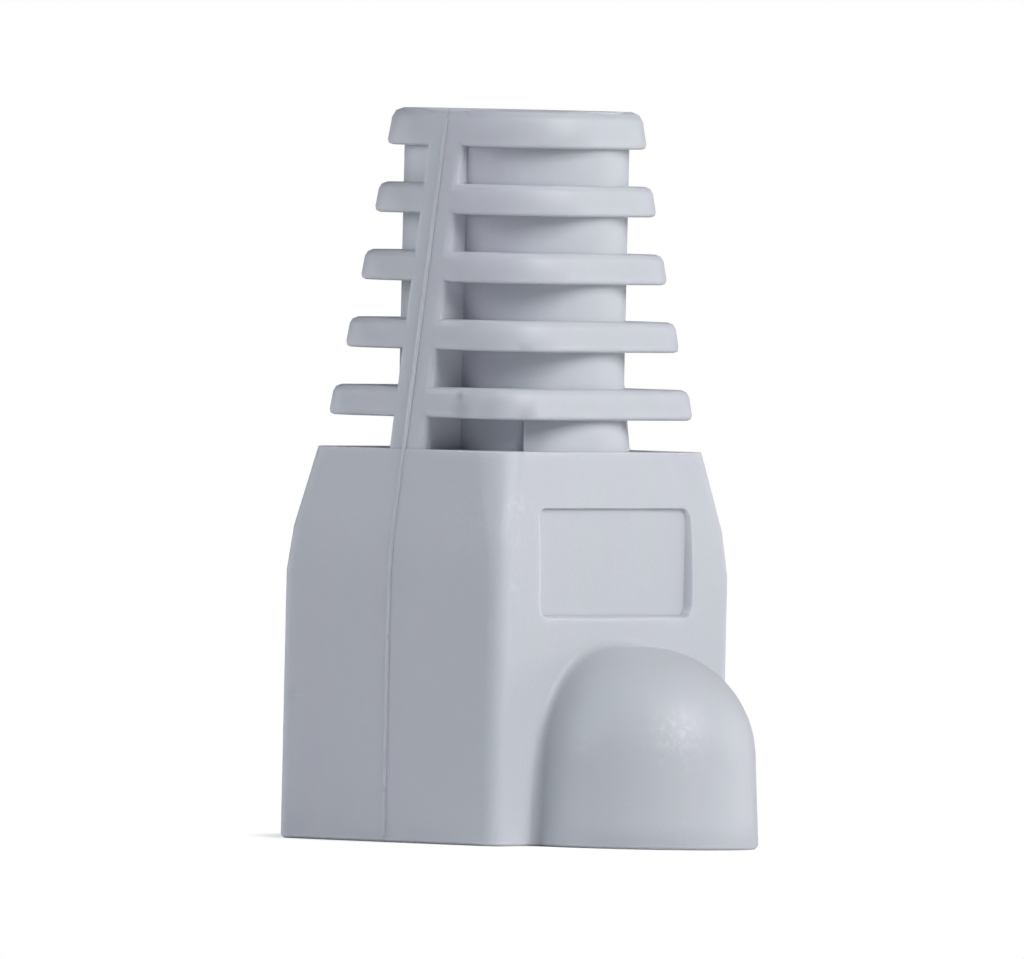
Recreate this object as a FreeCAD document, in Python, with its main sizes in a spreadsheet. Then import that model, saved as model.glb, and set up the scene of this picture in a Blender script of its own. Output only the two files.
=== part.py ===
"""RJ45 strain relief boot, moulded in one piece.

The boot stands on the rim that goes over the plug, with the cable leaving along +Z.
X is the width of the plug, the latch hump is on -Y, and the origin is the middle of
the plug opening in the plane of the rim. All sizes are in millimetres.
"""

import FreeCAD, Part
import os
from math import cos, hypot, radians, sin

import Sketcher

NODE = "boot"
FLANGES = 5
EDGE_TURNS = (0, 45, 90)

SIZES = [
    # what the boot holds
    ("plug_width", 11.7, "back of the plug, side to side"),
    ("plug_depth", 8.1, "back of the plug, front to back"),
    ("plug_clearance", 0.1, "room round the plug on each side"),
    ("cable_diameter", 6.0, "jacket of the cable"),
    ("cable_clearance", 0.1, "room round the cable on each side"),
    ("latch_room", 7.15, "width of the hollow over the plug's latch"),
    ("latch_reach", 4.5, "how far that hollow reaches out from the face of the sleeve"),
    ("latch_height", 5.6, "rim to the top of that hollow"),
    ("latch_crown", 1.6, "radius that the top of the hollow turns over with"),
    # sleeve over the plug
    ("pocket_height", 13.0, "rim to the roof of the plug pocket"),
    ("pocket_corner", 0.4, "upright corner radius of the pocket"),
    ("lead_in", 0.25, "bevel at the mouth of the pocket"),
    ("side_wall", 1.03, "wall on the left and right of the plug"),
    ("face_wall", 0.865, "wall in front of and behind the plug"),
    ("roof", 1.2, "thickness over the pocket"),
    ("sleeve_corner", 0.6, "upright corner radius of the straight sleeve"),
    ("rim_bevel", 0.12, "broken outer edge of the rim"),
    ("shoulder_height", 3.7, "height of the drawn-in shoulder"),
    ("shoulder_draw_side", 0.68, "how far the shoulder draws in on the left and right"),
    ("shoulder_draw_face", 0.445, "how far it draws in at the front and back"),
    ("shoulder_corner", 1.3, "upright corner radius at the top of the shoulder"),
    ("knee_ease", 0.8, "how far above and below the knee its bend is spread"),
    # cable tube and its flanges
    ("tube_wall", 0.975, "wall of the cable tube"),
    ("mouth_bevel", 0.3, "bevel at the cable end of the bore"),
    ("neck_step", 0.04, "ledge of the shoulder at the foot of the neck, left and right"),
    ("first_gap", 1.15, "open height between the shoulder and the first flange"),
    ("flange_gap", 1.35, "open height between two flanges"),
    ("flange_height", 1.1, "thickness of one flange"),
    ("top_flange_height", 1.35, "thickness of the last flange"),
    ("flange_round", 0.25, "rounding of the upper edge of a flange"),
    ("top_flange_round", 0.35, "rounding of the upper edge of the last flange"),
    ("flange_under", 0.2, "rounding of the lower edge of a flange"),
    ("end_reach_side", 0.05, "how far the end of the neck stands out from the tube, left and right"),
    ("end_reach_face", 0.185, "how far it stands out at the front and back"),
    ("end_corner", 3.45, "plan corner radius at the end of the neck"),
    ("corner_swell", 0.38, "how much rounder the corners are half way up than an even change"),
    # side webs, and the pads at the foot of the tube
    ("web_thickness", 1.6, "thickness of the two side webs"),
    ("web_round", 0.22, "rounding of their outer edges"),
    ("pad_foot", 0.26, "pad thickness at its foot"),
    ("pad_top", 0.1, "pad thickness at its top"),
    ("pad_angle", 92.0, "arc that a pad covers, in degrees"),
    # latch hump
    ("hump_wall", 1.0, "wall of the hump at the rim"),
    ("hump_height", 7.2, "rim to the top of the hump"),
    ("hump_crown", 4.0, "radius that the top of the hump turns over with"),
    ("hump_draft", 3.0, "lean of the hump's flanks, in degrees"),
    ("hump_blend", 0.35, "hollow radius where the hump runs into the sleeve"),
    # label recess
    ("label_width", 8.95, "recess, side to side"),
    ("label_height", 3.85, "recess height"),
    ("label_gap", 1.1, "top of the hump to the foot of the recess"),
    ("label_sink", 0.36, "recess depth below the straight face"),
    ("label_corner", 0.4, "recess corner radius"),
    ("label_flare", 0.1, "how far its walls open out on each side from its floor to its mouth"),
    # parting line
    ("flash_width", 0.12, "width of the raised parting line"),
    ("flash_proud", 0.04, "how far the parting line stands out"),
]

FORMULAS = [
    ("pocket_width", "plug_width + 2 * plug_clearance"),
    ("pocket_depth", "plug_depth + 2 * plug_clearance"),
    ("sleeve_width", "pocket_width + 2 * side_wall"),
    ("sleeve_depth", "pocket_depth + 2 * face_wall"),
    ("sleeve_height", "pocket_height + roof"),
    ("knee_height", "sleeve_height - shoulder_height"),
    ("shoulder_width", "sleeve_width - 2 * shoulder_draw_side"),
    ("shoulder_depth", "sleeve_depth - 2 * shoulder_draw_face"),
    ("bore_diameter", "cable_diameter + 2 * cable_clearance"),
    ("tube_diameter", "bore_diameter + 2 * tube_wall"),
    ("end_width", "tube_diameter + 2 * end_reach_side"),
    ("end_depth", "tube_diameter + 2 * end_reach_face"),
    ("flange_pitch", "flange_height + flange_gap"),
    ("flange_foot", "sleeve_height + first_gap"),
    ("top_flange_foot", "flange_foot + %d * flange_pitch" % (FLANGES - 1)),
    ("neck_end", "top_flange_foot + top_flange_height"),
    ("neck_height", "neck_end - sleeve_height"),
    ("foot_side", "shoulder_width / 2 - neck_step"),
    ("neck_slope", "( foot_side - end_width / 2 ) / neck_height"),
    ("hump_width", "latch_room + 2 * hump_wall"),
    ("hump_reach", "latch_reach + hump_wall"),
    ("nose_centre", "sleeve_depth / 2 + hump_reach - hump_width / 2"),
    ("label_foot", "hump_height + label_gap"),
]

doc = FreeCAD.newDocument("rj45_boot")
sheet = doc.addObject("Spreadsheet::Sheet", "Sizes")
body = doc.addObject("PartDesign::Body", NODE)
body.Label = NODE
PLANES = {plane.Role: plane for plane in body.Origin.OriginFeatures}


# ---------------------------------------------------------------- the sheet


def fill_sheet():
    """Write each driving size, and what follows from it, into the sheet."""
    rows = [(name, str(value), meaning) for name, value, meaning in SIZES]
    rows += [(name, "=" + formula, name.replace("_", " ")) for name, formula in FORMULAS]
    for row, (name, content, meaning) in enumerate(rows, 1):
        sheet.set("A%d" % row, meaning)
        sheet.set("B%d" % row, content)
        sheet.setAlias("B%d" % row, name)
    doc.recompute()


def in_sheet_terms(formula):
    """Put the sheet's name before each word of a formula: every word is a cell."""
    terms = []
    for word in formula.replace("(", "( ").replace(")", " )").split():
        terms.append("Sizes." + word if word[0].isalpha() else word)
    return " ".join(terms)


def value_of(formula):
    return float(sheet.evalExpression(in_sheet_terms(formula)))


def bind(target, prop, formula):
    target.setExpression(prop, in_sheet_terms(formula))


# ---------------------------------------------------------------- sketches


def new_sketch(name, plane, offset="0", shift="0"):
    """A sketch on an origin plane, moved along its normal and along its own x."""
    sketch = body.newObject("Sketcher::SketchObject", name)
    sketch.AttachmentSupport = [(PLANES[plane], "")]
    sketch.MapMode = "FlatFace"
    bind(sketch, "AttachmentOffset.Base.z", offset)
    bind(sketch, "AttachmentOffset.Base.x", shift)
    return sketch


def constrain(sketch, *terms):
    return sketch.addConstraint(Sketcher.Constraint(*terms))


def dimension(sketch, name, formula, *terms):
    """Add a named dimension to the sketch and tie it to the sheet."""
    value = value_of(formula)
    if terms[0] == "Angle":
        value = radians(value)
    index = constrain(sketch, *terms, value)
    sketch.renameConstraint(index, name)
    bind(sketch, "Constraints." + name, formula)


def arc(centre, radius, start, end):
    ring = Part.Circle(centre, FreeCAD.Vector(0, 0, 1), radius)
    return Part.ArcOfCircle(ring, radians(start), radians(end))


def rounded_rectangle(sketch, width, depth, corner, foot=None):
    """A rectangle with round corners, about the origin or standing on a foot line."""
    half_width = value_of(width) / 2
    half_depth = value_of(depth) / 2
    radius = value_of(corner)
    rise = 0 if foot is None else value_of(foot) + half_depth
    for x, y, turn in ((1, -1, -90), (1, 1, 0), (-1, 1, 90), (-1, -1, 180)):
        centre = FreeCAD.Vector(x * (half_width - radius), rise + y * (half_depth - radius), 0)
        out = FreeCAD.Vector(cos(radians(turn)), sin(radians(turn)), 0)
        back = FreeCAD.Vector(out.y, -out.x, 0)
        run = 2 * ((half_width if turn in (-90, 90) else half_depth) - radius)
        start = centre + out * radius
        sketch.addGeometry(Part.LineSegment(start + back * run, start))
        sketch.addGeometry(arc(centre, radius, turn, turn + 90))
    for index in range(8):
        constrain(sketch, "Tangent", index, 2, (index + 1) % 8, 1)
    for index, kind in ((0, "Horizontal"), (2, "Vertical"), (4, "Horizontal"), (6, "Vertical")):
        constrain(sketch, kind, index)
    for index in (3, 5, 7):
        constrain(sketch, "Equal", 1, index)
    dimension(sketch, "corner", corner, "Radius", 1)
    dimension(sketch, "width", width, "DistanceX", 6, 1, 2, 1)
    dimension(sketch, "depth", depth, "DistanceY", 0, 1, 4, 1)
    if foot is None:
        constrain(sketch, "Symmetric", 3, 3, 7, 3, -1, 1)
    else:
        dimension(sketch, "half", "(%s) / 2" % width, "DistanceX", -1, 1, 2, 1)
        dimension(sketch, "foot", foot, "DistanceY", -1, 1, 0, 1)


def circle(sketch, diameter):
    ring = Part.Circle(FreeCAD.Vector(), FreeCAD.Vector(0, 0, 1), value_of(diameter) / 2)
    sketch.addGeometry(ring)
    constrain(sketch, "Coincident", 0, 3, -1, 1)
    dimension(sketch, "diameter", diameter, "Diameter", 0)


def hold_corner(sketch, index, axis, formula):
    """Hold the start of a line at a distance from the origin, either side of it."""
    name = "%s%d" % (axis, index)
    kind = "Distance" + axis.upper()
    if formula == "0":
        constrain(sketch, "PointOnObject", index, 1, -2 if axis == "x" else -1)
    elif formula.startswith("-"):
        dimension(sketch, name, formula[1:], kind, index, 1, -1, 1)
    else:
        dimension(sketch, name, formula, kind, -1, 1, index, 1)


def polygon(sketch, corners):
    """Closed straight outline. A leading minus puts a corner on the negative side."""
    first = sketch.GeometryCount
    count = len(corners)
    points = []
    for corner in corners:
        across, up = (value_of(text.lstrip("-")) * (-1 if text[0] == "-" else 1) for text in corner)
        points.append(FreeCAD.Vector(across, up, 0))
    for index in range(count):
        sketch.addGeometry(Part.LineSegment(points[index], points[(index + 1) % count]))
    for index in range(count):
        constrain(sketch, "Coincident", first + index, 2, first + (index + 1) % count, 1)
    for index, (across, up) in enumerate(corners):
        hold_corner(sketch, first + index, "x", across)
        hold_corner(sketch, first + index, "y", up)


def section(name, height, width, depth, corner):
    """A level cut through the boot, at a height above the rim."""
    sketch = new_sketch(name, "XY_Plane", height)
    rounded_rectangle(sketch, width, depth, corner)
    return sketch


# ---------------------------------------------------------------- features


def feature(kind, name, profile):
    made = body.newObject("PartDesign::" + kind, name)
    made.Profile = profile
    return made


def loft(name, lowest, *rest):
    made = feature("AdditiveLoft", name, lowest)
    made.Sections = list(rest)
    made.Ruled = True


def dress(kind, name, wanted, prop, formula):
    """Round or bevel each edge of the body, as it stands, whose whole run is wanted."""
    doc.recompute()
    base = body.Tip
    names = []
    for number, edge in enumerate(base.Shape.Edges, 1):
        if all(wanted(point) for point in edge.discretize(5)):
            names.append("Edge%d" % number)
    if not names:
        raise RuntimeError("no edges found for " + name)
    made = body.newObject("PartDesign::" + kind, name)
    made.Base = (base, names)
    bind(made, prop, formula)


def near(first, second):
    return abs(first - second) < 0.001


# ---------------------------------------------------------------- outside


def part_way(low, high, share):
    return "( %s + ( %s - %s ) * ( %s ) )" % (low, high, low, share)


def shoulder_section(name, height):
    """A level cut through the shoulder, which draws in evenly from the knee to its top."""
    share = "( %s - knee_height ) / shoulder_height" % height
    width = part_way("sleeve_width", "shoulder_width", share)
    depth = part_way("sleeve_depth", "shoulder_depth", share)
    corner = part_way("sleeve_corner", "shoulder_corner", share)
    return section(name, height, width, depth, corner)


def sleeve():
    """Straight sleeve over the plug, an eased knee, and the drawn-in shoulder."""
    rim = section("RimOutline", "0", "sleeve_width", "sleeve_depth", "sleeve_corner")
    walls = feature("Pad", "Sleeve", rim)
    bind(walls, "Length", "knee_height - knee_ease")
    low = "( knee_height - knee_ease )"
    bend_foot = section("KneeFoot", low, "sleeve_width", "sleeve_depth", "sleeve_corner")
    bend_top = shoulder_section("KneeTop", "( knee_height + knee_ease )")
    loft("Shoulder", bend_foot, bend_top, shoulder_section("ShoulderOutline", "sleeve_height"))


def neck_side(height):
    """Half the width of the neck, which narrows evenly from the shoulder to its end."""
    return "( foot_side - neck_slope * ( %s - sleeve_height ) )" % height


def tube():
    """Cable tube, as long as the neck."""
    foot = new_sketch("TubeOutline", "XY_Plane", "sleeve_height")
    circle(foot, "tube_diameter")
    bind(feature("Pad", "Tube", foot), "Length", "neck_height")


def webs():
    """One upright plate across the neck leaves a web on each side of the tube."""
    outline = new_sketch("WebOutline", "XZ_Plane")
    high = "( top_flange_foot + flange_under )"
    right = [("foot_side", "sleeve_height"), (neck_side(high), high)]
    left = [("-" + across, up) for across, up in reversed(right)]
    polygon(outline, right + left)
    plate = feature("Pad", "Webs", outline)
    plate.Midplane = True
    bind(plate, "Length", "web_thickness")
    face = value_of("web_thickness / 2")
    foot = value_of("sleeve_height")
    side = value_of("foot_side")
    slope = value_of("neck_slope")

    def on_web_edge(point):
        return near(abs(point.y), face) and near(abs(point.x), side - slope * (point.z - foot))

    dress("Fillet", "WebRounding", on_web_edge, "Radius", "web_round")


def rounded_levels(rise, rounding):
    """How high each level of a flange is, and how far it is drawn in there."""
    levels = []
    for turn in EDGE_TURNS:
        levels.append((1 - cos(radians(turn)), 1 - sin(radians(turn))))
    lower = [("%.4f * flange_under" % up, "%.4f * flange_under" % inset) for up, inset in levels]
    upper = []
    for up, inset in reversed(levels):
        upper.append(("%s - %.4f * %s" % (rise, up, rounding), "%.4f * %s" % (inset, rounding)))
    return lower + upper


def flange(number, foot, rise, rounding):
    """One flange, lofted up through its levels. Its rim follows the slope of the neck."""
    middle = "( %s + %s / 2 )" % (foot, rise)
    share = "( %s - sleeve_height ) / neck_height" % middle
    depth = part_way("shoulder_depth", "end_depth", share)
    swell = "4 * corner_swell * %s * ( 1 - %s )" % (share, share)
    corner = part_way("shoulder_corner", "end_corner", share) + " + " + swell
    sections = []
    for level, (up, inset) in enumerate(rounded_levels(rise, rounding)):
        height = "( %s + %s )" % (foot, up)
        lean = "( neck_slope * ( %s - %s ) - %s )" % (middle, height, inset)
        name = "Flange%dLevel%d" % (number, level)
        width = "2 * ( %s - %s )" % (neck_side(height), inset)
        drawn_depth = "%s + 2 * %s" % (depth, lean)
        sections.append(section(name, height, width, drawn_depth, "%s + %s" % (corner, lean)))
    loft("Flange%d" % number, *sections)


def flanges():
    """Thin flanges that let the neck bend but not kink. Their sides are flush with the webs."""
    for index in range(FLANGES - 1):
        flange(index + 1, "( flange_foot + %d * flange_pitch )" % index, "flange_height", "flange_round")
    flange(FLANGES, "top_flange_foot", "top_flange_height", "top_flange_round")


def pads():
    """Shallow tapered pads, front and back, where the tube leaves the shoulder."""
    outline = new_sketch("PadOutline", "YZ_Plane")
    inner = "( tube_diameter / 2 - pad_foot )"
    low = "( tube_diameter / 2 + pad_foot )"
    high = "( tube_diameter / 2 + pad_top )"
    outer = [(low, "sleeve_height"), (high, "flange_foot")]
    corners = [(inner, "sleeve_height")] + outer + [(inner, "flange_foot")]
    polygon(outline, corners)
    polygon(outline, [("-" + across, up) for across, up in corners])
    made = feature("Revolution", "Pads", outline)
    made.ReferenceAxis = (outline, ["V_Axis"])
    made.Midplane = True
    bind(made, "Angle", "pad_angle")


def hump_profile(sketch, radius, crown, height, whole):
    """Foot, flank, crown and top of the hump, on one side or on both."""
    lean = radians(value_of("hump_draft"))
    reach = value_of(radius)
    turn = value_of(crown)
    top = value_of(height)
    bend_x = reach - (turn + (top - turn) * sin(lean)) / cos(lean)
    bend = FreeCAD.Vector(bend_x, top - turn, 0)
    touch = bend + FreeCAD.Vector(cos(lean), sin(lean), 0) * turn
    left = FreeCAD.Vector(-reach if whole else 0, 0, 0)
    right = FreeCAD.Vector(reach, 0, 0)
    over = FreeCAD.Vector(-bend_x if whole else 0, top, 0)
    sketch.addGeometry(Part.LineSegment(left, right))
    sketch.addGeometry(Part.LineSegment(right, touch))
    sketch.addGeometry(arc(bend, turn, value_of("hump_draft"), 90))
    sketch.addGeometry(Part.LineSegment(FreeCAD.Vector(bend_x, top, 0), over))
    constrain(sketch, "Coincident", 0, 2, 1, 1)
    constrain(sketch, "Tangent", 1, 2, 2, 1)
    constrain(sketch, "Tangent", 2, 2, 3, 1)
    constrain(sketch, "Horizontal", 3)
    constrain(sketch, "PointOnObject", 1, 1, -1)
    dimension(sketch, "radius", radius, "DistanceX", -1, 1, 1, 1)
    dimension(sketch, "crown", crown, "Radius", 2)
    dimension(sketch, "height", height, "DistanceY", -1, 1, 3, 1)
    dimension(sketch, "draft", "90 + hump_draft", "Angle", 1)
    if whole:
        far_touch = FreeCAD.Vector(-touch.x, touch.y, 0)
        far_bend = FreeCAD.Vector(-bend.x, bend.y, 0)
        sketch.addGeometry(arc(far_bend, turn, 90, 180 - value_of("hump_draft")))
        sketch.addGeometry(Part.LineSegment(far_touch, left))
        constrain(sketch, "Tangent", 3, 2, 4, 1)
        constrain(sketch, "Tangent", 4, 2, 5, 1)
        constrain(sketch, "Coincident", 5, 2, 0, 1)
        constrain(sketch, "Equal", 2, 4)
        constrain(sketch, "Equal", 1, 5)
        constrain(sketch, "Symmetric", 0, 1, 0, 2, -2)
    else:
        sketch.addGeometry(Part.LineSegment(over, left))
        constrain(sketch, "Coincident", 3, 2, 4, 1)
        constrain(sketch, "Coincident", 4, 2, 0, 1)
        constrain(sketch, "Coincident", 4, 2, -1, 1)
        constrain(sketch, "Vertical", 4)


def hump_sketches(name, *sizes):
    """Half profile on the nose's own axis, and the whole one that runs back from it."""
    nose = new_sketch(name + "NoseProfile", "YZ_Plane", "0", "0 - nose_centre")
    hump_profile(nose, *sizes, False)
    back = new_sketch(name + "BackProfile", "XZ_Plane", "nose_centre")
    hump_profile(back, *sizes, True)
    return nose, back


def hump():
    """Room for the plug's latch: a round domed nose, carried back into the sleeve."""
    nose, back = hump_sketches("Hump", "hump_width / 2", "hump_crown", "hump_height")
    turned = feature("Revolution", "HumpNose", nose)
    turned.ReferenceAxis = (nose, ["V_Axis"])
    bar = feature("Pad", "HumpBack", back)
    bar.Reversed = True
    bind(bar, "Length", "nose_centre")


def blend_hump():
    """Hollow blend all round the hump where it meets the front of the sleeve."""
    face = -value_of("sleeve_depth") / 2
    top = value_of("hump_height") + 0.01
    half = value_of("hump_width") / 2 + 0.01

    def on_joint(point):
        return near(point.y, face) and point.z < top and abs(point.x) < half

    dress("Fillet", "HumpBlend", on_joint, "Radius", "hump_blend")


def break_rim():
    """Broken outer edge of the rim, round the sleeve and the hump."""
    dress("Chamfer", "RimBevel", lambda point: near(point.z, 0), "Size", "rim_bevel")


def parting_line():
    """Fine raised line down both sides, where the halves of the mould met."""
    outline = new_sketch("PartingOutline", "XZ_Plane")
    high = "( neck_end - top_flange_round )"
    bend_width = part_way("sleeve_width", "shoulder_width", "knee_ease / shoulder_height")
    right = [
        ("( sleeve_width / 2 + flash_proud )", "( 2 * rim_bevel )"),
        ("( sleeve_width / 2 + flash_proud )", "( knee_height - knee_ease )"),
        ("( %s / 2 + flash_proud )" % bend_width, "( knee_height + knee_ease )"),
        ("( foot_side + neck_step + flash_proud )", "sleeve_height"),
        ("( %s + flash_proud )" % neck_side(high), high),
    ]
    left = [("-" + across, up) for across, up in reversed(right)]
    polygon(outline, right + left)
    line = feature("Pad", "PartingLine", outline)
    line.Midplane = True
    bind(line, "Length", "flash_width")


def label_section(name, distance, flare):
    """Outline of the recess on an upright plane in front of the middle of the boot."""
    sketch = new_sketch(name, "XZ_Plane", distance)
    width = "label_width + 2 * %s" % flare
    height = "label_height + 2 * %s" % flare
    rounded_rectangle(sketch, width, height, "label_corner + %s" % flare, "label_foot - %s" % flare)
    return sketch


def label_recess():
    """Blank recess for a label: walls that open outwards, floor parallel to the sleeve."""
    floor = label_section("LabelFloor", "sleeve_depth / 2 - label_sink", "0")
    mouth = label_section("LabelMouth", "sleeve_depth / 2 + label_sink", "( 2 * label_flare )")
    sink = feature("SubtractiveLoft", "LabelRecess", floor)
    sink.Sections = [mouth]
    sink.Ruled = True


# ---------------------------------------------------------------- inside


def plug_pocket():
    """Pocket for the back of the plug, with a bevelled mouth."""
    mouth = section("PocketOutline", "0", "pocket_width", "pocket_depth", "pocket_corner")
    pocket = feature("Pocket", "PlugPocket", mouth)
    pocket.Reversed = True
    bind(pocket, "Length", "pocket_height")
    half_width = value_of("pocket_width") / 2 + 0.01
    half_depth = value_of("pocket_depth") / 2 + 0.01

    def on_mouth(point):
        return near(point.z, 0) and abs(point.x) < half_width and abs(point.y) < half_depth

    dress("Chamfer", "PocketMouth", on_mouth, "Size", "lead_in")


def latch_hollow():
    """Hollow of the hump, open to the pocket and at the rim."""
    nose, back = hump_sketches("Latch", "latch_room / 2", "latch_crown", "latch_height")
    turned = feature("Groove", "LatchNose", nose)
    turned.ReferenceAxis = (nose, ["V_Axis"])
    bar = feature("Pocket", "LatchBack", back)
    bind(bar, "Length", "nose_centre")


def cable_bore():
    """Bore from the end of the neck into the pocket, with a bevelled mouth."""
    end = new_sketch("BoreOutline", "XY_Plane", "neck_end")
    circle(end, "bore_diameter")
    bore = feature("Pocket", "CableBore", end)
    bind(bore, "Length", "neck_end - pocket_height / 2")
    radius = value_of("bore_diameter") / 2
    high = value_of("neck_end")

    def on_mouth(point):
        return near(point.z, high) and near(hypot(point.x, point.y), radius)

    dress("Chamfer", "BoreMouth", on_mouth, "Size", "mouth_bevel")


# ---------------------------------------------------------------- the build


CUTS = (break_rim, label_recess, plug_pocket, latch_hollow, cable_bore)


def take(step, before):
    """Take a step: the body stays one valid solid, and grows or shrinks as it should."""
    step()
    doc.recompute()
    for item in doc.Objects:
        if "Invalid" in item.State or "Error" in item.State:
            raise RuntimeError("%s failed in %s: %s" % (item.Name, step.__name__, item.State))
    shape = body.Shape
    if shape.isNull() or not shape.isValid() or len(shape.Solids) != 1:
        raise RuntimeError("no single valid solid after " + step.__name__)
    if (shape.Volume < before) != (step in CUTS):
        raise RuntimeError("%s left the volume at %.3f" % (step.__name__, shape.Volume))
    return shape.Volume


def build():
    fill_sheet()
    volume = 0
    for step in (sleeve, hump, blend_hump, break_rim, label_recess):
        volume = take(step, volume)
    for step in (tube, webs, flanges, pads, parting_line):
        volume = take(step, volume)
    for step in (plug_pocket, latch_hollow, cable_bore):
        volume = take(step, volume)
    return volume


volume = build()
os.makedirs("parts", exist_ok=True)
body.Shape.exportStep("parts/%s.step" % NODE)
box = body.Shape.BoundBox
print("%s: %.1f mm3, %.2f x %.2f x %.2f mm" % (NODE, volume, box.XLength, box.YLength, box.ZLength))
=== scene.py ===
"""Finish, stage and camera for a soft PVC strain relief boot.

The boot stands on the rim of its plug pocket. X is its width, the latch hump is on -Y
and the cable leaves along +Z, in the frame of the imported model. Settings are in metres,
and places on the skin are in millimetres.
"""

from math import cos, radians, sin

import bpy
from mathutils import Matrix, Vector


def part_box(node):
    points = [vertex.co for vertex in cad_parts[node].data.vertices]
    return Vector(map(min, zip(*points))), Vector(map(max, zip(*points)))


bl_info = {
    "name": "Strain relief boot",
    "version": (1, 0, 0),
    "blender": (4, 5, 0),
    "location": "3D View > Sidebar > Boot",
    "description": "Dresses and stages a moulded strain relief boot",
    "category": "Object",
}

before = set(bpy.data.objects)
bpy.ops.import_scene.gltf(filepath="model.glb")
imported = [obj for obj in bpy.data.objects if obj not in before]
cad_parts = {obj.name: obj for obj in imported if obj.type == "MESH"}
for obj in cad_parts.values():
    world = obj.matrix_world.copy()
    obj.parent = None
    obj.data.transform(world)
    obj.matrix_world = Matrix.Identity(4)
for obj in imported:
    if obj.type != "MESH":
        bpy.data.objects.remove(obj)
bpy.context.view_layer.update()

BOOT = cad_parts["boot"]
LOW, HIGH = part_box("boot")
MIDDLE = (Vector(LOW) + Vector(HIGH)) / 2
MM = 0.001
WHITE = (1.0, 1.0, 1.0)


# ---------------------------------------------------------------- settings


class BootFinishSettings(bpy.types.PropertyGroup):
    """Colour and surface of the moulded plastic."""

    colour: bpy.props.FloatVectorProperty(
        name="Plastic colour",
        description="Light cool grey of the moulding",
        subtype="COLOR",
        size=3,
        min=0.0,
        max=1.0,
        default=(0.585, 0.615, 0.66),
    )
    flow_colour: bpy.props.FloatVectorProperty(
        name="Flow colour",
        description="Slightly pinker grey of the streaks that the plastic sets in",
        subtype="COLOR",
        size=3,
        min=0.0,
        max=1.0,
        default=(0.6, 0.597, 0.668),
    )
    # Grey of the handling smudges, and of the painted shade along the parting line.
    smudge_and_seam_shade_colour: bpy.props.FloatVectorProperty(
        name="Smudge colour",
        description="Grey of the few handling smudges",
        subtype="COLOR",
        size=3,
        min=0.0,
        max=1.0,
        default=(0.3, 0.31, 0.34),
    )
    # Pale colour of real scuffs and a flash speck, and also of painted highlights on the hump's nose,
    # the front corner and the pad edges, and of painted light on the label recess walls.
    pale_colour: bpy.props.FloatVectorProperty(
        name="Pale colour",
        description="Whitened plastic of the scuffs and of the label's walls",
        subtype="COLOR",
        size=3,
        min=0.0,
        max=1.0,
        default=(0.86, 0.88, 0.92),
    )
    # Painted shade along the parting line: how much darker it is painted than the skin.
    seam_shade: bpy.props.FloatProperty(
        name="Seam shade",
        description="How much darker the parting line is than the skin",
        subtype="FACTOR",
        min=0.0,
        max=1.0,
        default=0.2,
    )
    # Painted light: how much the shaded side walls of the label recess are painted paler.
    wall_painted_light: bpy.props.FloatProperty(
        name="Wall paleness",
        description="How pale the stretched walls of the label recess are",
        subtype="FACTOR",
        min=0.0,
        max=1.0,
        default=0.55,
    )
    roughness: bpy.props.FloatProperty(
        name="Roughness",
        description="Roughness of the satin skin",
        subtype="FACTOR",
        min=0.0,
        max=1.0,
        default=0.48,
    )
    flow_length: bpy.props.FloatProperty(
        name="Flow length",
        description="Typical length of a flow streak, up the boot",
        unit="LENGTH",
        default=0.007,
    )
    grain: bpy.props.FloatProperty(
        name="Grain size",
        description="Width of one pit of the fine spark-eroded grain",
        unit="LENGTH",
        default=0.00011,
    )
    grain_depth: bpy.props.FloatProperty(
        name="Grain depth",
        description="Depth of the fine grain",
        unit="LENGTH",
        default=0.000005,
    )
    edge_softness: bpy.props.FloatProperty(
        name="Edge softness",
        description="Radius that the crisp edges of the mould are softened by",
        unit="LENGTH",
        default=0.00005,
    )
    translucency: bpy.props.FloatProperty(
        name="Translucency",
        description="Share of the light that spreads inside the soft plastic",
        subtype="FACTOR",
        min=0.0,
        max=1.0,
        default=1.0,
    )
    light_reach: bpy.props.FloatProperty(
        name="Light reach",
        description="How far light spreads inside the plastic",
        unit="LENGTH",
        default=0.00042,
    )
    crisp_angle: bpy.props.FloatProperty(
        name="Crisp angle",
        description="Edges that turn by more than this stay crisp",
        unit="ROTATION",
        default=radians(50),
    )


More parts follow.
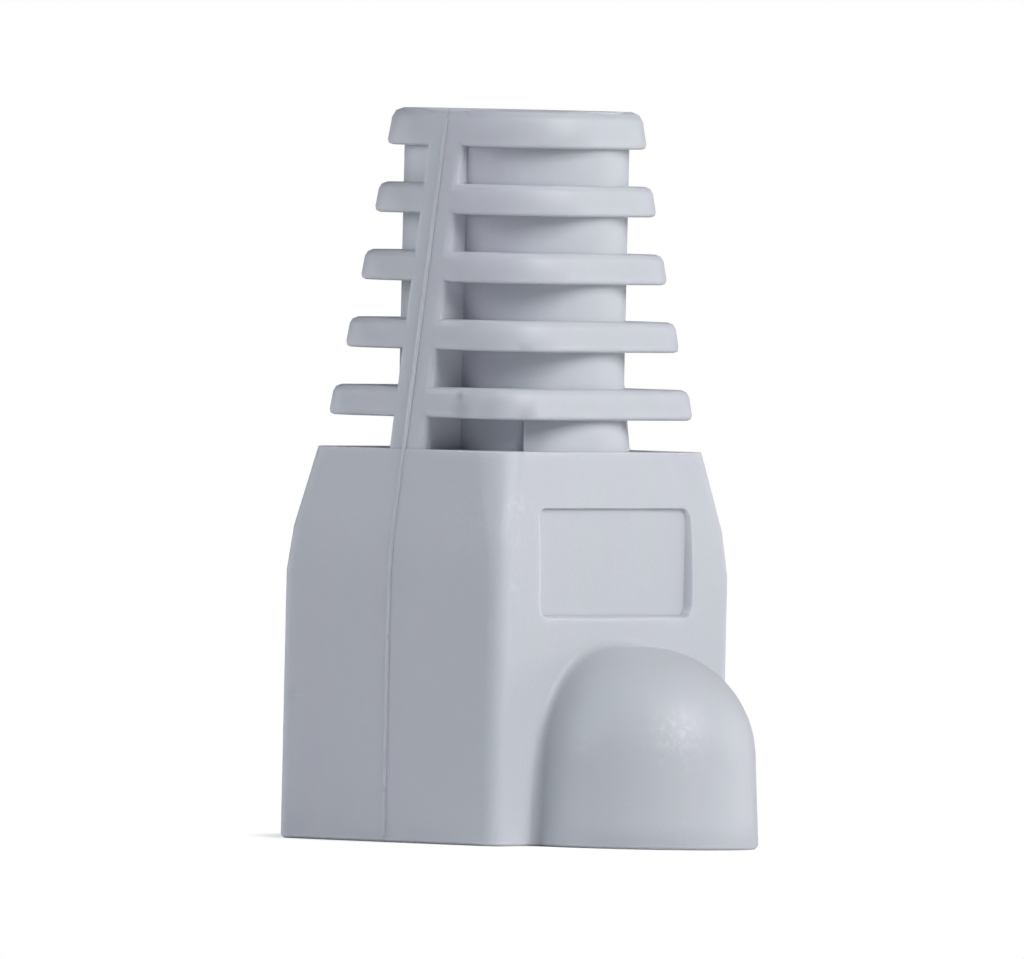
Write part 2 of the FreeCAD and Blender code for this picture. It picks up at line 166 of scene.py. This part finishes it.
class StageSettings(bpy.types.PropertyGroup):
    """Floor, lamps and camera."""

    floor_colour: bpy.props.FloatVectorProperty(
        name="Floor colour",
        description="Pale paper sweep that the boot stands on",
        subtype="COLOR",
        size=3,
        min=0.0,
        max=1.0,
        default=(0.86, 0.86, 0.86),
    )
    floor_lift: bpy.props.FloatProperty(
        name="Floor lift",
        description="Extra whiteness of the paper where the camera sees it",
        subtype="FACTOR",
        min=0.0,
        max=1.0,
        default=0.42,
    )
    floor_clear: bpy.props.FloatProperty(
        name="Clear floor",
        description="Distance from the middle at which the paper has faded to plain white",
        unit="LENGTH",
        default=0.0096,
    )
    floor_size: bpy.props.FloatProperty(
        name="Floor size",
        description="Side of the paper",
        unit="LENGTH",
        default=1.2,
    )
    camera_azimuth: bpy.props.FloatProperty(
        name="Camera azimuth",
        description="How far the camera stands round from the hump side",
        unit="ROTATION",
        default=radians(-52.6),
    )
    camera_elevation: bpy.props.FloatProperty(
        name="Camera elevation",
        description="How far the camera looks down",
        unit="ROTATION",
        default=radians(0.88),
    )
    camera_roll: bpy.props.FloatProperty(
        name="Camera roll",
        description="Clockwise lean of the view",
        unit="ROTATION",
        default=radians(1.29),
    )
    camera_distance: bpy.props.FloatProperty(
        name="Camera distance",
        description="From the lens to the middle of the boot",
        unit="LENGTH",
        default=1.3,
    )
    view_width: bpy.props.FloatProperty(
        name="View width",
        description="Width of the view at the middle of the boot",
        unit="LENGTH",
        default=0.0371,
    )
    key_power: bpy.props.FloatProperty(
        name="Key lamp power",
        description="Large soft box in front of the hump, on the right of the camera",
        unit="POWER",
        default=2.14,
    )
    left_power: bpy.props.FloatProperty(
        name="Left lamp power",
        description="Soft box on the left of the camera",
        unit="POWER",
        default=0.92,
    )
    rim_power: bpy.props.FloatProperty(
        name="Rim lamp power",
        description="Each of the two low soft boxes behind the boot, left and right",
        unit="POWER",
        default=0.46,
    )
    room_strength: bpy.props.FloatProperty(
        name="Room strength",
        description="Even light of the white room",
        min=0.0,
        default=0.02,
    )


# ---------------------------------------------------------------- shader maths


class Value:
    """A shader socket that adds Math nodes as it is used in expressions."""

    def __init__(self, graph, socket):
        self.graph = graph
        self.socket = socket

    def _math(self, operation, *terms):
        """A Math node on these values."""
        return self.graph.add("ShaderNodeMath", {"operation": operation}, *terms)

    def __add__(self, other):
        return self._math("ADD", self, other)

    __radd__ = __add__

    def __sub__(self, other):
        return self._math("SUBTRACT", self, other)

    def __rsub__(self, other):
        return self._math("SUBTRACT", other, self)

    def __mul__(self, other):
        return self._math("MULTIPLY", self, other)

    __rmul__ = __mul__

    def __neg__(self):
        return self._math("MULTIPLY", self, -1.0)

    def absolute(self):
        """The value without its sign."""
        return self._math("ABSOLUTE", self)


class Graph:
    """The node tree of a material, a world or a modifier."""

    def __init__(self, tree):
        self.tree = tree
        self.tree.nodes.clear()

    def add(self, kind, settings=None, *inputs, output=None, **named):
        """Add a node: its settings first, then its inputs by order or by name.

        The result is the output of the name given, or else the first one in use. An
        underscore in a name stands for a space.
        """
        node = self.tree.nodes.new(kind)
        for key, setting in (settings or {}).items():
            setattr(node, key, setting)
        for socket, given in zip(node.inputs, inputs):
            self._feed(socket, given)
        for name, given in named.items():
            self._feed(self._pick(node.inputs, name), given)
        if not node.outputs:
            return None
        return Value(self, self._pick(node.outputs, output))

    @staticmethod
    def _pick(sockets, name):
        """The socket of that name, or the first one, of those in use."""
        for socket in sockets:
            if socket.enabled and name in (None, socket.name.replace(" ", "_")):
                return socket
        raise KeyError("no socket in use is called %s" % name)

    def _feed(self, socket, given):
        """Link a value to a socket, or set a constant on it."""
        if isinstance(given, Value):
            self.tree.links.new(given.socket, socket)
        else:
            socket.default_value = given

    def smooth(self, given, low, high):
        """0 below low and 1 above high, with a soft step between."""
        settings = {"interpolation_type": "SMOOTHSTEP", "clamp": True}
        return self.add("ShaderNodeMapRange", settings, given, low, high, 0.0, 1.0)

    def between(self, given, start, end):
        """1 between two soft steps and 0 outside them."""
        return self.smooth(given, *start) * (1.0 - self.smooth(given, *end))

    def clamp(self, given):
        """The value, held between 0 and 1."""
        return self.add("ShaderNodeClamp", None, given)

    def distance(self, place, point):
        """How far a place is from a point."""
        return self.add("ShaderNodeVectorMath", {"operation": "DISTANCE"}, place, point)

    def split(self, vector):
        """The three parts of a vector."""
        first = self.add("ShaderNodeSeparateXYZ", None, vector)
        return [Value(self, socket) for socket in first.socket.node.outputs]

    def noise(self, place, scale, detail, roughness):
        """Smooth noise between 0 and 1."""
        return self.add(
            "ShaderNodeTexNoise", None, Vector=place, Scale=scale, Detail=detail, Roughness=roughness
        )

    def mix_colour(self, share, first, second):
        """The first colour where the share is 0 and the second where it is 1."""
        settings = {"data_type": "RGBA", "blend_type": "MIX"}
        return self.add("ShaderNodeMix", settings, Factor=share, A=first, B=second)


def colour4(colour):
    """A colour with the alpha that a socket wants."""
    return (*colour, 1.0)


# ---------------------------------------------------------------- boot


# Soft spots on the skin: middle in millimetres, reach in millimetres, strength.
SMUDGES = (
    ((-6.05, -2.2, 16.2), 0.2, 0.9),
    ((-6.05, -2.3, 15.7), 0.4, 0.35),
    ((-5.6, -3.4, 15.8), 0.45, 0.14),
    ((-4.7, -4.3, 17.75), 0.4, 0.5),
    ((-4.9, -4.5, 15.6), 0.4, 0.26),
    ((-7.0, 4.4, 5.2), 0.25, 0.1),
    ((-7.0, 0.02, 1.9), 0.11, 0.3),
    ((-7.0, 0.02, 7.4), 0.1, 0.25),
)
# The spot on the hump's nose and the three down the front corner lie on the skin's brightest shine:
# they are pale scuffing and painted highlight both. The others are faint scuffs and a pale flash speck.
SCUFFS_AND_HIGHLIGHTS = (
    ((-2.45, -9.8, 4.1), 1.15, 0.33),
    ((-4.5, -6.75, 3.8), 0.5, 0.2),
    ((-5.8, -5.0, 12.3), 0.5, 0.3),
    ((-6.0, -5.0, 11.1), 0.4, 0.28),
    ((-6.2, -5.0, 9.3), 0.45, 0.2),
    ((-6.75, -3.5, 11.7), 1.1, 0.1),
    ((-6.3, -0.8, 14.25), 0.14, 0.9),
)
# Fine scratch marks, and painted highlights along edges: the two ends in millimetres, and the strength.
SCRATCHES_AND_EDGE_HIGHLIGHTS = (
    ((-7.02, 4.6, 5.2), (-7.02, 3.6, 5.16), 0.5),
    ((-6.6, -1.2, 12.4), (-6.66, -1.5, 11.9), 0.25),
    # Painted highlights on the two side edges of the pad at the foot of the neck.
    ((-3.12, -3.01, 14.15), (-3.0, -2.9, 15.4), 0.8),
    ((3.12, -3.01, 14.15), (3.0, -2.9, 15.4), 0.8),
)
# A line ends where the way past its two ends is this many millimetres longer than itself.
LINE_DETOUR = 0.006
# A soft spot ends at this many times its reach.
SPOT_END = 1.5

# Noise: repeats in a millimetre, detail and roughness.
STREAK_NOISE = (0.42, 3.0, 0.55)
WOBBLE_NOISE = (3.2, 3.0, 0.6)
SWELL_NOISE = (0.9, 2.0, 0.5)
FLECK_NOISE = (3.6, 4.0, 0.7)
# The grain's repeats come from its size, so this is its detail and roughness alone.
GRAIN_NOISE = (2.0, 0.6)
NOISE_MIDDLE = 0.5

# Levels of noise between which streaks and flecks appear.
STREAK_STEP = (0.4, 0.64)
FLECK_STEP = (0.46, 0.62)
# Width of a streak in millimetres, and how much of the flow colour it takes on.
STREAK_WIDTH = 2.0
STREAK_SHARE = 0.55

# What each unevenness adds to the roughness, and to the height in millimetres.
GRAIN_DULLS = 0.16
WOBBLE_DULLS = 0.07
SWELL_DULLS = 0.08
WOBBLE_HEIGHT = 0.004
SWELL_HEIGHT = 0.012

# Distance from the parting plane over which the parting line fades, in millimetres.
SEAM_STEP = (0.05, 0.075)

# Where the side walls of the label recess lie, as steps in millimetres: in front of the
# middle, to either side of it, and above the rim.
WALL_FRONT = ((4.4, 4.45), (5.06, 5.1))
WALL_SIDE = ((4.2, 4.3), (4.62, 4.66))
WALL_FOOT = (8.0, 8.1)
# How squarely a wall looks sideways.
WALL_FACING = (0.55, 0.8)

# Corners of facets that lie closer together than this are joined.
WELD = 0.001 * MM


def fine_lines(graph, place):
    """How strong the fine lines are, scratch marks and painted edge highlights: thin lines, by the
    detour past their two ends.
    """
    total = 0.0
    for start, end, strength in SCRATCHES_AND_EDGE_HIGHLIGHTS:
        length = (Vector(end) - Vector(start)).length
        detour = -length
        for tip in (start, end):
            detour = detour + graph.distance(place, tip)
        total = total + (1.0 - graph.smooth(detour, 0.0, LINE_DETOUR)) * strength
    return total


def soft_spots(graph, place, spots, wobble):
    """How strong a group of soft, uneven spots is at a place."""
    total = 0.0
    for middle, reach, strength in spots:
        away = graph.distance(place, middle)
        spot = 1.0 - graph.smooth(away + wobble * reach, 0.0, reach * SPOT_END)
        total = total + spot * strength
    return total


def flow_streaks(graph, place, length):
    """Soft bands where the melt met and set, drawn out along the boot."""
    stretch = (1.0, 1.0, STREAK_WIDTH * MM / length)
    drawn = graph.add("ShaderNodeVectorMath", {"operation": "MULTIPLY"}, place, stretch)
    return graph.smooth(graph.noise(drawn, *STREAK_NOISE), *STREAK_STEP)


def label_walls(graph, x, y, z):
    """1 on the upright side walls of the label recess, 0 elsewhere."""
    facing = graph.add("ShaderNodeNewGeometry", output="Normal")
    sideways = graph.split(facing)[0].absolute()
    in_front = graph.between(-y, *WALL_FRONT)
    beside = graph.between(x.absolute(), *WALL_SIDE)
    return graph.smooth(sideways, *WALL_FACING) * in_front * beside * graph.smooth(z, *WALL_FOOT)


def plastic_material(settings):
    """Soft PVC with a satin skin, faint flow streaks, a fine mould grain, some handling, and painted
    highlights, painted shade and painted light on a few spots, edges and walls.
    """
    material = bpy.data.materials.new("boot_plastic")
    material.use_nodes = True
    graph = Graph(material.node_tree)
    where = graph.add("ShaderNodeTexCoord", output="Object")
    place = graph.add("ShaderNodeVectorMath", {"operation": "SCALE"}, where, Scale=1 / MM)
    x, y, z = graph.split(place)

    # Painted shade along the parting line.
    seam = 1.0 - graph.smooth(y.absolute(), *SEAM_STEP)
    streaks = flow_streaks(graph, place, settings.flow_length)
    wobble = graph.noise(place, *WOBBLE_NOISE) - NOISE_MIDDLE
    pits = graph.noise(place, MM / settings.grain, *GRAIN_NOISE) - NOISE_MIDDLE
    swell = graph.noise(place, *SWELL_NOISE) - NOISE_MIDDLE

    skin = colour4(settings.colour)
    colour = graph.mix_colour(streaks * STREAK_SHARE, skin, colour4(settings.flow_colour))
    # Handling smudges, and painted shade along the parting line.
    smudges_and_seam_shade = soft_spots(graph, place, SMUDGES, wobble) + seam * settings.seam_shade
    colour = graph.mix_colour(smudges_and_seam_shade, colour, colour4(settings.smudge_and_seam_shade_colour))
    flecks = graph.smooth(graph.noise(place, *FLECK_NOISE), *FLECK_STEP)
    # Pale scuffing, and painted highlight where the spots lie on the brightest shine.
    scuffs_and_highlights = soft_spots(graph, place, SCUFFS_AND_HIGHLIGHTS, wobble) * flecks
    # Painted light on the shaded side walls of the label recess.
    painted_wall_light = label_walls(graph, x, y, z) * settings.wall_painted_light
    pale = graph.clamp(scuffs_and_highlights + fine_lines(graph, place) + painted_wall_light)
    colour = graph.mix_colour(pale, colour, colour4(settings.pale_colour))

    roughness = settings.roughness + pits * GRAIN_DULLS + wobble * WOBBLE_DULLS + swell * SWELL_DULLS
    height = pits * (settings.grain_depth / MM) + wobble * WOBBLE_HEIGHT + swell * SWELL_HEIGHT
    edges = graph.add("ShaderNodeBevel", {"samples": 6}, settings.edge_softness)
    bump = graph.add("ShaderNodeBump", None, Strength=1.0, Distance=MM, Height=height, Normal=edges)

    shader = graph.add(
        "ShaderNodeBsdfPrincipled",
        None,
        Base_Color=colour,
        Roughness=roughness,
        Normal=bump,
        IOR=1.5,
        Subsurface_Weight=settings.translucency,
        Subsurface_Radius=(1.0, 1.0, 1.0),
        Subsurface_Scale=settings.light_reach,
    )
    graph.add("ShaderNodeOutputMaterial", None, shader)
    return material


def smoothing_nodes(settings):
    """Geometry nodes that weld the facets and shade over every bend but the crisp edges."""
    tree = bpy.data.node_groups.new("smooth_skin", "GeometryNodeTree")
    for way in ("INPUT", "OUTPUT"):
        tree.interface.new_socket("Geometry", in_out=way, socket_type="NodeSocketGeometry")
    graph = Graph(tree)
    skin = graph.add("NodeGroupInput")
    skin = graph.add("GeometryNodeMergeByDistance", None, Geometry=skin, Distance=WELD)
    skin = graph.add("GeometryNodeRemoveAttribute", None, Geometry=skin, Name="custom_normal")
    skin = graph.add("GeometryNodeSetShadeSmooth", {"domain": "FACE"}, Geometry=skin, Shade_Smooth=True)
    bend = graph.add("GeometryNodeInputMeshEdgeAngle")
    crisp = graph.add("ShaderNodeMath", {"operation": "GREATER_THAN"}, bend, settings.crisp_angle)
    skin = graph.add(
        "GeometryNodeSetShadeSmooth",
        {"domain": "EDGE"},
        Geometry=skin,
        Selection=crisp,
        Shade_Smooth=False,
    )
    graph.add("NodeGroupOutput", None, skin)
    return tree


class BOOT_OT_smooth_boot(bpy.types.Operator):
    """Shade the moulding smoothly between its crisp edges"""

    bl_idname = "boot.smooth_boot"
    bl_label = "Smooth the boot"

    def execute(self, context):
        skin = BOOT.modifiers.new("smooth_skin", "NODES")
        skin.node_group = smoothing_nodes(context.scene.boot_finish)
        flats = BOOT.modifiers.new("flat_faces", "WEIGHTED_NORMAL")
        flats.keep_sharp = True
        return {"FINISHED"}


class BOOT_OT_dress_boot(bpy.types.Operator):
    """Give the moulding its plastic"""

    bl_idname = "boot.dress_boot"
    bl_label = "Dress the boot"

    def execute(self, context):
        material = plastic_material(context.scene.boot_finish)
        BOOT.data.materials.clear()
        BOOT.data.materials.append(material)
        return {"FINISHED"}


# ---------------------------------------------------------------- stage


# Soft boxes round the boot: name, azimuth and elevation in degrees, power setting, colour.
LAMPS = (
    ("key_lamp", 5, 34, "key_power", WHITE),
    ("left_lamp", -113, 22, "left_power", (0.92, 0.95, 1.0)),
    ("left_rim_lamp", -170, 6, "rim_power", WHITE),
    ("right_rim_lamp", 67, 6, "rim_power", WHITE),
)
LAMP_DISTANCE = 0.5
LAMP_SIDE = 0.28
# The camera looks at this height on the boot's axis, and this far to the right of it.
AIM_HEIGHT = 0.0131
AIM_RIGHT = 0.00009
# Share of the clear floor's distance at which the paper starts to fade.
FADE_START = 0.78


def paper_material(settings):
    """White paper. The camera sees it whiter, and plain white away from the boot's shadow."""
    material = bpy.data.materials.new("paper")
    material.use_nodes = True
    graph = Graph(material.node_tree)
    seen = graph.add("ShaderNodeLightPath", output="Is_Camera_Ray")
    where = graph.add("ShaderNodeNewGeometry", output="Position")
    away = graph.add("ShaderNodeVectorMath", {"operation": "LENGTH"}, where)
    clear = graph.smooth(away, settings.floor_clear * FADE_START, settings.floor_clear)
    white = colour4(WHITE)
    paper = graph.add("ShaderNodeBsdfDiffuse", None, Color=colour4(settings.floor_colour))
    glow = graph.add("ShaderNodeEmission", None, Color=white, Strength=settings.floor_lift)
    plain = graph.add("ShaderNodeEmission", None, Color=white, Strength=1.0)
    lifted = graph.add("ShaderNodeAddShader", None, paper, glow)
    shown = graph.add("ShaderNodeMixShader", None, clear, lifted, plain)
    shader = graph.add("ShaderNodeMixShader", None, seen, paper, shown)
    graph.add("ShaderNodeOutputMaterial", None, shader)
    return material


def room_world(strength):
    """Even white light from all round, that the camera sees as plain white."""
    world = bpy.data.worlds.new("room")
    world.use_nodes = True
    graph = Graph(world.node_tree)
    white = colour4(WHITE)
    light = graph.add("ShaderNodeBackground", None, Color=white, Strength=strength)
    plain = graph.add("ShaderNodeBackground", None, Color=white, Strength=1.0)
    seen = graph.add("ShaderNodeLightPath", output="Is_Camera_Ray")
    mixed = graph.add("ShaderNodeMixShader", None, seen, light, plain)
    graph.add("ShaderNodeOutputWorld", None, mixed)
    return world


def flat_plate(name, side, height):
    """A square face at a height, centred on the upright axis."""
    half = side / 2
    corners = [
        (-half, -half, height),
        (half, -half, height),
        (half, half, height),
        (-half, half, height),
    ]
    mesh = bpy.data.meshes.new(name)
    mesh.from_pydata(corners, [], [(0, 1, 2, 3)])
    plate = bpy.data.objects.new(name, mesh)
    bpy.context.scene.collection.objects.link(plate)
    return plate


def direction(azimuth, elevation):
    """Unit vector towards a viewer at that azimuth and elevation."""
    level = cos(elevation)
    return Vector((sin(azimuth) * level, -cos(azimuth) * level, sin(elevation)))


def soft_box(name, azimuth, elevation, power, colour):
    """Add a square lamp that faces the middle of the boot."""
    lamp = bpy.data.lights.new(name, "AREA")
    lamp.shape = "SQUARE"
    lamp.size = LAMP_SIDE
    lamp.energy = power
    lamp.color = colour
    holder = bpy.data.objects.new(name, lamp)
    towards = direction(radians(azimuth), radians(elevation))
    holder.location = MIDDLE + towards * LAMP_DISTANCE
    holder.rotation_euler = towards.to_track_quat("Z", "Y").to_euler()
    bpy.context.scene.collection.objects.link(holder)


def add_camera(settings):
    """Add a camera with a long lens, so that the far side of the boot hardly shrinks."""
    lens = bpy.data.cameras.new("camera")
    lens.sensor_width = 36.0
    lens.lens = lens.sensor_width * settings.camera_distance / settings.view_width
    lens.clip_start = 0.01
    lens.clip_end = 50.0
    lens.dof.use_dof = False
    camera = bpy.data.objects.new("camera", lens)
    towards = direction(settings.camera_azimuth, settings.camera_elevation)
    right = Vector((0, 0, 1)).cross(towards).normalized()
    aim = Vector((0, 0, AIM_HEIGHT)) + right * AIM_RIGHT
    aimed = towards.to_track_quat("Z", "Y").to_matrix().to_4x4()
    roll = Matrix.Rotation(settings.camera_roll, 4, "Z")
    camera.matrix_world = Matrix.Translation(aim + towards * settings.camera_distance) @ aimed @ roll
    bpy.context.scene.collection.objects.link(camera)
    bpy.context.scene.camera = camera


class BOOT_OT_set_stage(bpy.types.Operator):
    """Add the paper, the lamps, the room light and the camera"""

    bl_idname = "boot.set_stage"
    bl_label = "Set the stage"

    def execute(self, context):
        scene = context.scene
        settings = scene.boot_stage
        floor = flat_plate("floor", settings.floor_size, LOW[2])
        floor.data.materials.append(paper_material(settings))
        for name, azimuth, elevation, power, colour in LAMPS:
            soft_box(name, azimuth, elevation, getattr(settings, power), colour)
        scene.world = room_world(settings.room_strength)
        scene.view_settings.view_transform = "Standard"
        add_camera(settings)
        return {"FINISHED"}


# ---------------------------------------------------------------- add-on


class BOOT_PT_sidebar(bpy.types.Panel):
    """Buttons and settings of the boot"""

    bl_idname = "BOOT_PT_sidebar"
    bl_label = "Strain relief boot"
    bl_space_type = "VIEW_3D"
    bl_region_type = "UI"
    bl_category = "Boot"

    def draw(self, context):
        layout = self.layout
        for operator in OPERATORS:
            layout.operator(operator.bl_idname)
        for group in (context.scene.boot_finish, context.scene.boot_stage):
            box = layout.box()
            for name in group.__annotations__:
                box.prop(group, name)


OPERATORS = (BOOT_OT_smooth_boot, BOOT_OT_dress_boot, BOOT_OT_set_stage)
CLASSES = (BootFinishSettings, StageSettings, *OPERATORS, BOOT_PT_sidebar)


def register():
    """Make the settings, the operators and the panel known to Blender."""
    for cls in CLASSES:
        bpy.utils.register_class(cls)
    bpy.types.Scene.boot_finish = bpy.props.PointerProperty(type=BootFinishSettings)
    bpy.types.Scene.boot_stage = bpy.props.PointerProperty(type=StageSettings)


def unregister():
    """Take them away again."""
    del bpy.types.Scene.boot_stage
    del bpy.types.Scene.boot_finish
    for cls in reversed(CLASSES):
        bpy.utils.unregister_class(cls)


def main():
    """Dress and stage the boot."""
    register()
    bpy.ops.boot.smooth_boot()
    bpy.ops.boot.dress_boot()
    bpy.ops.boot.set_stage()


if __name__ == "__main__":
    main()
